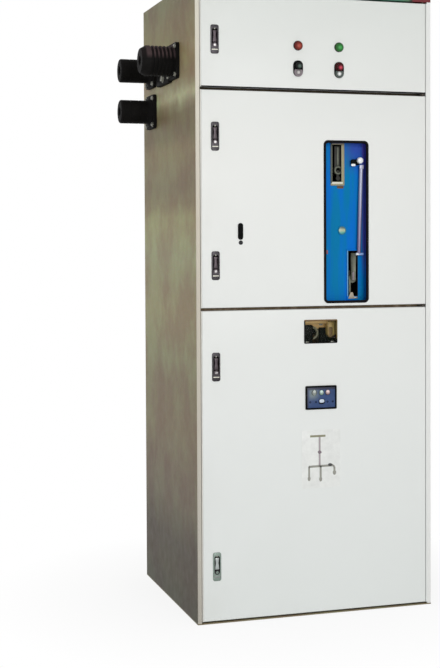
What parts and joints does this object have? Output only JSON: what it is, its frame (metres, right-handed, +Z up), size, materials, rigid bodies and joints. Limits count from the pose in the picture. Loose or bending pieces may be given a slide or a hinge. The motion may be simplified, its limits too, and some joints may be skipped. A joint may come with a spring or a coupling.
{
  "type": "ring main unit",
  "caption": "Free-standing medium-voltage switch cubicle with three side-hung doors, a recessed blue operating panel, signal lamps, a viewing window and side bushings.",
  "frame": {"origin": "centre of the footprint on the floor", "axes": "+X to the right along the front, +Y to the back, +Z up"},
  "size_m": [0.976, 0.764, 2.2],
  "materials": {
    "side_sheet": "aluminium-zinc coated sheet, matt",
    "inner_sheet": "zinc-coated sheet, matt",
    "door_paint": "off-white powder coat, fine texture",
    "header_paint": "green and dark red paint, satin",
    "hinge_steel": "zinc-plated steel",
    "blue_panel": "blue powder coat, satin",
    "slot_sheet": "yellow-passivated sheet edge",
    "dark_steel": "dark oiled steel",
    "grey_cast": "grey metallic casting",
    "black_plastic": "black moulded plastic",
    "bright_steel": "plated rod",
    "cream_plastic": "cream indicator disc",
    "black_resin": "cast black resin, satin",
    "copper": "bare copper bar",
    "lock_metal": "nickel-plated die casting",
    "red_lens": "clear red lens",
    "green_lens": "clear green lens",
    "red_plastic": "red moulded button",
    "rubber_edging": "extruded rubber",
    "window_glass": "clear toughened glass",
    "blue_plastic": "navy face plate",
    "plate_white": "off-white printed plate"
  },
  "bodies": {
    "cabinet": {"floor_plate": "inner_sheet", "left_side_panel": "side_sheet", "right_side_panel": "side_sheet", "top_cover": "side_sheet", "relief_flap": "side_sheet", "rear_upper_cover": "side_sheet", "rear_lower_cover": "side_sheet", "header_plate": "header_paint", "head_rail": "side_sheet", "upper_crossbar": "side_sheet", "lower_crossbar": "side_sheet", "hinge_pins": "hinge_steel", "inner_partition": "inner_sheet", "instrument_shelf": "inner_sheet", "cable_compartment_roof": "inner_sheet", "mechanism_housing": "inner_sheet", "operating_panel": "blue_panel", "upper_slot_frame": "slot_sheet", "lower_slot_frame": "slot_sheet", "upper_crank": "dark_steel", "lower_crank": "grey_cast", "interlock_knob": "black_plastic", "interlock_rod": "bright_steel", "position_indicator": "cream_plastic", "front_bushing": "black_resin", "rear_upper_bushing": "black_resin", "rear_lower_bushing": "black_resin", "post_insulators": "black_resin", "contact_bar": "copper", "cable_bars": "copper", "earth_bar": "copper"},
    "top_door": {"top_door": "door_paint", "top_door_lock": "lock_metal", "red_lamp": "red_lens", "green_lamp": "green_lens", "black_station": "black_plastic", "red_station": "black_plastic"},
    "middle_door": {"middle_door": "door_paint", "middle_door_upper_lock": "lock_metal", "middle_door_lower_lock": "lock_metal", "panel_edging": "rubber_edging", "door_latch": "black_plastic"},
    "lower_door": {"lower_door": "door_paint", "lower_door_upper_lock": "lock_metal", "lower_door_lower_lock": "lock_metal", "window_frame": "black_plastic", "window_glass": "window_glass", "voltage_display": "blue_plastic", "mimic_plate": "plate_white"},
    "black_button": {"black_button": "black_plastic"},
    "red_button": {"red_button": "red_plastic"}
  },
  "joints": [
    {"name": "top_door_hinge", "type": "hinge", "parent": "cabinet", "child": "top_door", "pos_m": [0.396, -0.3695, 1.95], "axis": [0, 0, 1], "range_deg": [0, 110]},
    {"name": "middle_door_hinge", "type": "hinge", "parent": "cabinet", "child": "middle_door", "pos_m": [0.396, -0.3695, 1.42], "axis": [0, 0, 1], "range_deg": [0, 110]},
    {"name": "lower_door_hinge", "type": "hinge", "parent": "cabinet", "child": "lower_door", "pos_m": [0.396, -0.3695, 0.53], "axis": [0, 0, 1], "range_deg": [0, 110]},
    {"name": "black_button_press", "type": "slide", "parent": "top_door", "child": "black_button", "axis": [0, 1, 0], "range_m": [0, 0.004], "stiffness_N_per_m": 800, "springref_m": -0.003},
    {"name": "red_button_press", "type": "slide", "parent": "top_door", "child": "red_button", "axis": [0, 1, 0], "range_m": [0, 0.004], "stiffness_N_per_m": 800, "springref_m": -0.003}
  ]
}
